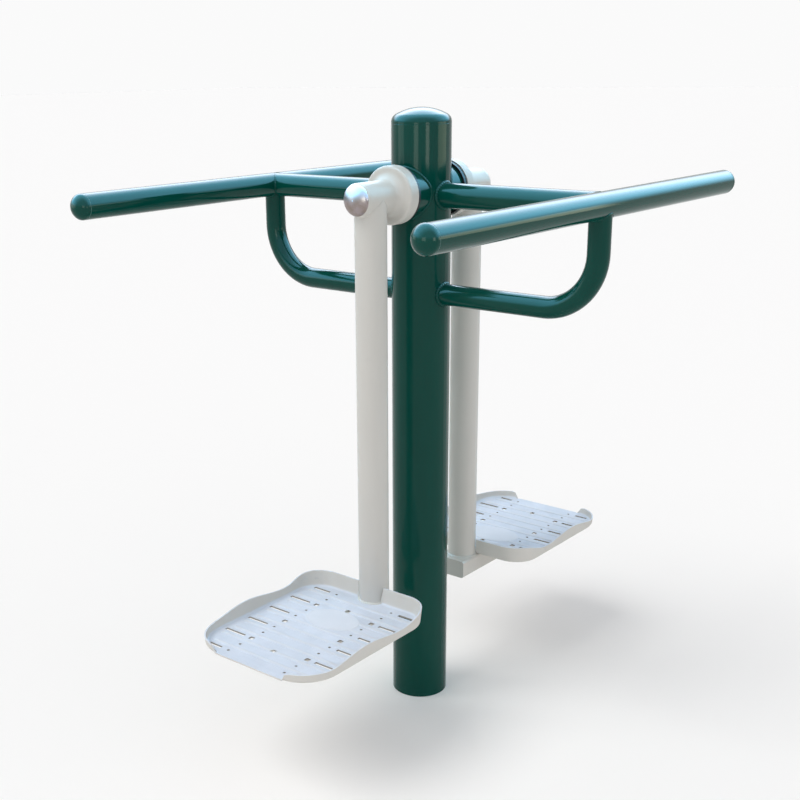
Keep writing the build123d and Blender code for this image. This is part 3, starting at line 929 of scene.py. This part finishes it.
def tread_plate():
    """Plane, corners beveled round, long edges divided into short ones."""
    start_piece()
    bpy.ops.mesh.primitive_plane_add(size=1, location=(0, tray_middle, base))
    plate = bpy.context.object
    plate.scale = (2 * (tray_half_width - fold), tray_length - 2 * fold, 1)
    bpy.ops.object.transform_apply(location=True, rotation=False, scale=True)
    bpy.ops.object.mode_set(mode="EDIT")
    for end in (tray_inboard + fold, tray_outboard - fold):
        mesh = bmesh.from_edit_mesh(plate.data)
        for vertex in mesh.verts:
            vertex.select_set(abs(vertex.co.y - end) < hair)
        mesh.select_flush_mode()
        bmesh.update_edit_mesh(plate.data)
        bpy.ops.mesh.bevel(offset=corner_at(end) - fold, segments=corner_segments, affect="VERTICES",
                           clamp_overlap=False)
    bpy.ops.mesh.select_all(action="DESELECT")
    mesh = bmesh.from_edit_mesh(plate.data)
    for edge in mesh.edges:
        if edge.calc_length() > long_edge:
            edge.select_set(True)
    bmesh.update_edit_mesh(plate.data)
    bpy.ops.mesh.subdivide(number_cuts=edge_cuts)
    return plate


plate = tread_plate()
print("plate outline points:", len(bmesh.from_edit_mesh(plate.data).verts))

# %% Fold and rim, ring by ring
fold_steps = 6
wall_steps = 5


def ring_offset_height(ring, height):
    """Distance from the outline and height of a ring of the sheet's outer skin."""
    if ring <= fold_steps:
        angle = math.pi / 2 * ring / fold_steps
        level = fold * (1 - math.cos(angle))
        return fold * (math.sin(angle) - 1) + level * flare, level
    level = fold + (height - fold) * (ring - fold_steps) / wall_steps
    return level * flare, level


def grow_rim(plate):
    """Extrudes the plate's edge into the fold and the wavy rim."""
    rings = fold_steps + wall_steps
    mesh = bmesh.from_edit_mesh(plate.data)
    on_outline = mesh.verts.layers.float_vector.new("on_outline")
    for vertex in mesh.verts:
        vertex[on_outline] = vertex.co + outline_normal(vertex.co) * fold
    for edge in mesh.edges:
        edge.select_set(edge.is_boundary)
    for ring in range(1, rings + 1):
        bmesh.update_edit_mesh(plate.data)
        bpy.ops.mesh.extrude_edges_indiv()
        mesh = bmesh.from_edit_mesh(plate.data)
        on_outline = mesh.verts.layers.float_vector["on_outline"]
        for vertex in (v for v in mesh.verts if v.select):
            start = vertex[on_outline]
            share = rim_share(start)
            offset, level = ring_offset_height(ring, rim_height(start.y))
            flat = -fold + (fold - sheet_end) * ring / rings
            reach = flat + (offset - flat) * share
            vertex.co = start + outline_normal(start) * reach
            vertex.co.z = base + level * share
    bmesh.update_edit_mesh(plate.data)
    bpy.ops.mesh.select_all(action="SELECT")
    bpy.ops.mesh.normals_make_consistent(inside=False)


grow_rim(plate)
mesh = bmesh.from_edit_mesh(plate.data)
tread_face = max(mesh.faces, key=lambda face: face.calc_area())
if tread_face.normal.z > 0:
    bpy.ops.mesh.flip_normals()
bpy.ops.object.mode_set(mode="OBJECT")
print("tray skin faces:", len(plate.data.polygons))

# %% Thickness and a softened lip
def apply_modifier(piece, kind, **settings):
    """Adds a modifier, sets it and applies it."""
    start_piece()
    piece.select_set(True)
    bpy.context.view_layer.objects.active = piece
    modifier = piece.modifiers.new(kind.lower(), kind)
    for option, value in settings.items():
        setattr(modifier, option, value)
    bpy.ops.object.modifier_apply(modifier=modifier.name)


lip_round = 0.0011
sharp_edge = math.radians(50)
apply_modifier(plate, "SOLIDIFY", thickness=sheet, offset=-1, use_even_offset=True)
apply_modifier(plate, "BEVEL", width=lip_round, segments=3, limit_method="ANGLE", angle_limit=sharp_edge)
print("tray with thickness:", len(plate.data.polygons), "faces")

# %% [markdown]
# ## Ribs, pad, slots and holes
# Low ribs are pressed across the tread between rows of holes, with a plain oval pad over the middle ones.
# A rib is a rod squashed to an ellipse and half sunk in the sheet, so its back is soft, and the pad is a
# flat cone with a gentle slope all round. A Boolean union joins them to the sheet. Slots, holes and the
# cut for the arm come out by a Boolean difference. All blocks of one kind share one mesh, so one Boolean
# does the whole pattern.

# %% Ribs and the oval pad
row_pitch = 0.0307
row_margin = 0.022
row_count = int((tray_length - 2 * row_margin) / row_pitch) + 1
rows = [tray_middle + (i - (row_count - 1) / 2) * row_pitch for i in range(row_count)]
rib_half_width = 0.0050
rib_height = 0.0016
rib_edge = 0.018
rib_sunk = 0.0005
rib_end_round = 0.0018
pad_half_length = 0.062
pad_half_width = 0.042
pad_before_middle = 0.060
pad_over_ribs = 0.00012
pad_rise = rib_height + pad_over_ribs
pad_sunk = 0.0010
pad_foot_share = 1.02
pad_top_share = 0.92
pad_round = 0.0012
pad_slope_edge = math.radians(15)


def half_width_at(y):
    """Half width of the tread's outline at a distance from the post."""
    corner = corner_at(y)
    past = abs(y - tray_middle) - (tray_length / 2 - corner)
    if past <= 0:
        return tray_half_width
    return tray_half_width - corner + math.sqrt(corner ** 2 - past ** 2)


def start_blocks(name):
    """An empty mesh in edit mode, for blocks of one kind."""
    start_piece()
    mesh = bpy.data.meshes.new(name)
    blocks = bpy.data.objects.new(name, mesh)
    bpy.context.scene.collection.objects.link(blocks)
    bpy.context.view_layer.objects.active = blocks
    blocks.select_set(True)
    bpy.ops.object.mode_set(mode="EDIT")
    return blocks


def boolean(piece, blocks, operation):
    """Applies a Boolean and deletes the blocks."""
    apply_modifier(piece, "BOOLEAN", operation=operation, solver="EXACT", object=blocks)
    bpy.data.objects.remove(blocks)


ribs = start_blocks("ribs")
for y in [(a + b) / 2 for a, b in zip(rows, rows[1:])]:
    rib_half_length = half_width_at(y) - rib_edge
    bpy.ops.mesh.primitive_cylinder_add(vertices=32, radius=1, depth=2, rotation=(0, math.pi / 2, 0),
                                        location=(0, y, tread_top - rib_sunk),
                                        scale=(rib_height + rib_sunk, rib_half_width, rib_half_length))
bpy.ops.object.mode_set(mode="OBJECT")
apply_modifier(ribs, "BEVEL", width=rib_end_round, segments=3, limit_method="ANGLE", angle_limit=sharp_edge)
boolean(plate, ribs, "UNION")
pad = start_blocks("pad")
pad_place = (0, tray_middle - pad_before_middle, tread_top + (pad_rise - pad_sunk) / 2)
bpy.ops.mesh.primitive_cone_add(vertices=128, radius1=pad_foot_share, radius2=pad_top_share, depth=1,
                                location=pad_place,
                                scale=(pad_half_length, pad_half_width, pad_rise + pad_sunk))
bpy.ops.object.mode_set(mode="OBJECT")
apply_modifier(pad, "BEVEL", width=pad_round, segments=3, limit_method="ANGLE", angle_limit=pad_slope_edge)
boolean(plate, pad, "UNION")
print("ribs:", len(rows) - 1, "and one oval pad")

# %% Slots, holes and the cut for the arm
slot_width = 0.007
slot_start = 0.088
slot_edge = 0.012
hole_column = 0.070
hole_radius = 0.00275
square_side = 0.010
square_every = 3
centre_square_offset = 0.106
cut_depth = 0.030
weld_gap = 0.0002


def cut_box(x, y, width, length):
    """A block through the sheet."""
    bpy.ops.mesh.primitive_cube_add(size=1, location=(x, y, base), scale=(width, length, cut_depth))


cuts = start_blocks("cuts")
for i, y in enumerate(rows):
    square_row = i % square_every == square_every - 1
    slot_end = half_width_at(y) - slot_edge
    for side in (-1, 1):
        if square_row:
            cut_box(side * hole_column, y, square_side, square_side)
        else:
            bpy.ops.mesh.primitive_cylinder_add(vertices=24, radius=hole_radius, depth=cut_depth,
                                                location=(side * hole_column, y, base))
        if i % 2 == 0:
            cut_box(side * (slot_start + slot_end) / 2, y, slot_end - slot_start, slot_width)
for side in (-1, 1):
    cut_box(0, tray_middle + side * centre_square_offset, square_side, square_side)
bpy.ops.mesh.primitive_cylinder_add(vertices=96, radius=swing_radius + weld_gap, depth=4 * cut_depth,
                                    location=(0, swing_middle.y, base))
bpy.ops.object.mode_set(mode="OBJECT")
boolean(plate, cuts, "DIFFERENCE")
print("tray faces after cutting:", len(plate.data.polygons))

# %% Mark the cut walls
wall_tilt = 0.3
wall_zone = 0.9 * slot_edge
arm_zone = 0.004


def mark_cut_walls(piece):
    """Gives every face inside a slot or hole the value 1, for the painted shade, and all others 0."""
    walls = piece.data.attributes.new("cut_edge", "FLOAT", "FACE")
    marked = 0
    for face in piece.data.polygons:
        x, y, z = face.center
        upright = abs(face.normal.z) < wall_tilt
        in_sheet = base < z < tread_top
        along = tray_inboard + fold < y < tray_outboard - fold
        inside = along and abs(x) < half_width_at(y) - wall_zone
        at_arm = math.hypot(x, y - swing_middle.y) < swing_radius + arm_zone
        if upright and in_sheet and inside and not at_arm:
            walls.data[face.index].value = 1.0
            marked += 1
    return marked


print("cut walls marked:", mark_cut_walls(plate))

# %% Fit the two trays
finish_piece(plate, "rear_pedal_tray", "rear_swing", tread_paint, smooth_angle=32)
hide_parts("rear_pedal")
front_tray = turned_copy(plate, "front_pedal_tray", "front_swing", tread_paint)
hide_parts("front_pedal")
print("trays:", plate.name, front_tray.name)
